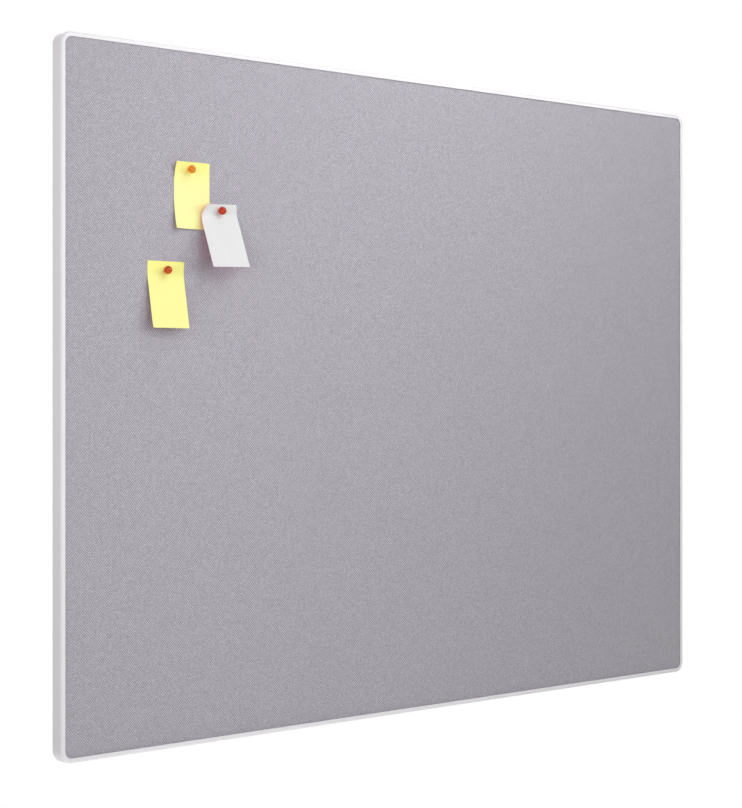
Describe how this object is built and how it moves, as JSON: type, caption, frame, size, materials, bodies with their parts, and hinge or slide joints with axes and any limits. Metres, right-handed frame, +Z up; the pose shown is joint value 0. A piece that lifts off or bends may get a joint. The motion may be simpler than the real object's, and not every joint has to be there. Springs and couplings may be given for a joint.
{
  "type": "wall-hung fabric pinboard",
  "caption": "Fabric-faced softboard in a slim white rounded-corner frame, hung on sliding rear wall clips, with paper notes under ball-headed pins.",
  "frame": {"origin": "middle of the top rail's rear face, which lies in the wall plane", "axes": "+X to the right for someone who faces the board, +Y into the wall, +Z up"},
  "size_m": [1.2, 0.0453, 0.9],
  "materials": {
    "coated_aluminium": "satin white powder coat",
    "moulded_white": "satin moulded white",
    "zinc_steel": "bright zinc plated",
    "hardboard": "hardboard with a smooth face",
    "softboard": "fibrous softboard",
    "grey_fabric": "fine plain weave, lavender grey",
    "yellow_paper": "matt yellow note paper",
    "white_paper": "matt white note paper with a pink reverse",
    "orange_plastic": "glossy orange red",
    "needle_steel": "bright polished steel"
  },
  "bodies": {
    "board": {"top_rail": "coated_aluminium", "bottom_rail": "coated_aluminium", "left_rail": "coated_aluminium", "right_rail": "coated_aluminium", "lower_left_corner": "moulded_white", "upper_left_corner": "moulded_white", "upper_right_corner": "moulded_white", "lower_right_corner": "moulded_white", "top_rail_screw_1": "zinc_steel", "top_rail_screw_2": "zinc_steel", "bottom_rail_screw_1": "zinc_steel", "bottom_rail_screw_2": "zinc_steel", "left_rail_screw_1": "zinc_steel", "left_rail_screw_2": "zinc_steel", "right_rail_screw_1": "zinc_steel", "right_rail_screw_2": "zinc_steel", "backing_board": "hardboard", "softboard_core": "softboard", "fabric_facing": "grey_fabric"},
    "upper_left_clip": {"upper_left_wall_clip": "zinc_steel"},
    "upper_right_clip": {"upper_right_wall_clip": "zinc_steel"},
    "lower_left_clip": {"lower_left_wall_clip": "zinc_steel"},
    "lower_right_clip": {"lower_right_wall_clip": "zinc_steel"},
    "upper_yellow_sheet": {"yellow_note_upper": "yellow_paper"},
    "lower_yellow_sheet": {"yellow_note_lower": "yellow_paper"},
    "white_sheet": {"white_note": "white_paper"},
    "upper_yellow_pin": {"yellow_note_upper_pin_head": "orange_plastic", "yellow_note_upper_pin_needle": "needle_steel"},
    "lower_yellow_pin": {"yellow_note_lower_pin_head": "orange_plastic", "yellow_note_lower_pin_needle": "needle_steel"},
    "white_sheet_pin": {"white_note_pin_head": "orange_plastic", "white_note_pin_needle": "needle_steel"}
  },
  "joints": [
    {"name": "upper_left_clip_slide", "type": "slide", "parent": "board", "child": "upper_left_clip", "axis": [1, 0, 0], "range_m": [-0.07, 0.4]},
    {"name": "upper_right_clip_slide", "type": "slide", "parent": "board", "child": "upper_right_clip", "axis": [1, 0, 0], "range_m": [-0.4, 0.07]},
    {"name": "lower_left_clip_lift", "type": "slide", "parent": "board", "child": "lower_left_clip", "axis": [0, 0, 1], "range_m": [0, 0.008]},
    {"name": "lower_right_clip_lift", "type": "slide", "parent": "board", "child": "lower_right_clip", "axis": [0, 0, 1], "range_m": [0, 0.008]},
    {"name": "upper_yellow_note_swing", "type": "hinge", "parent": "board", "child": "upper_yellow_sheet", "pos_m": [-0.403, -0.0183, -0.153], "axis": [0, 1, 0], "range_deg": [-2, 40]},
    {"name": "lower_yellow_note_swing", "type": "hinge", "parent": "board", "child": "lower_yellow_sheet", "pos_m": [-0.441, -0.0183, -0.284], "axis": [0, 1, 0], "range_deg": [-45, 45]},
    {"name": "white_note_swing", "type": "hinge", "parent": "board", "child": "white_sheet", "pos_m": [-0.353, -0.0183, -0.2035], "axis": [0, 1, 0], "range_deg": [-40, 8]},
    {"name": "upper_yellow_pin_pull", "type": "slide", "parent": "board", "child": "upper_yellow_pin", "axis": [0, -1, 0], "range_m": [0, 0.012]},
    {"name": "lower_yellow_pin_pull", "type": "slide", "parent": "board", "child": "lower_yellow_pin", "axis": [0, -1, 0], "range_m": [0, 0.012]},
    {"name": "white_note_pin_pull", "type": "slide", "parent": "board", "child": "white_sheet_pin", "axis": [0, -1, 0], "range_m": [0, 0.012]}
  ]
}
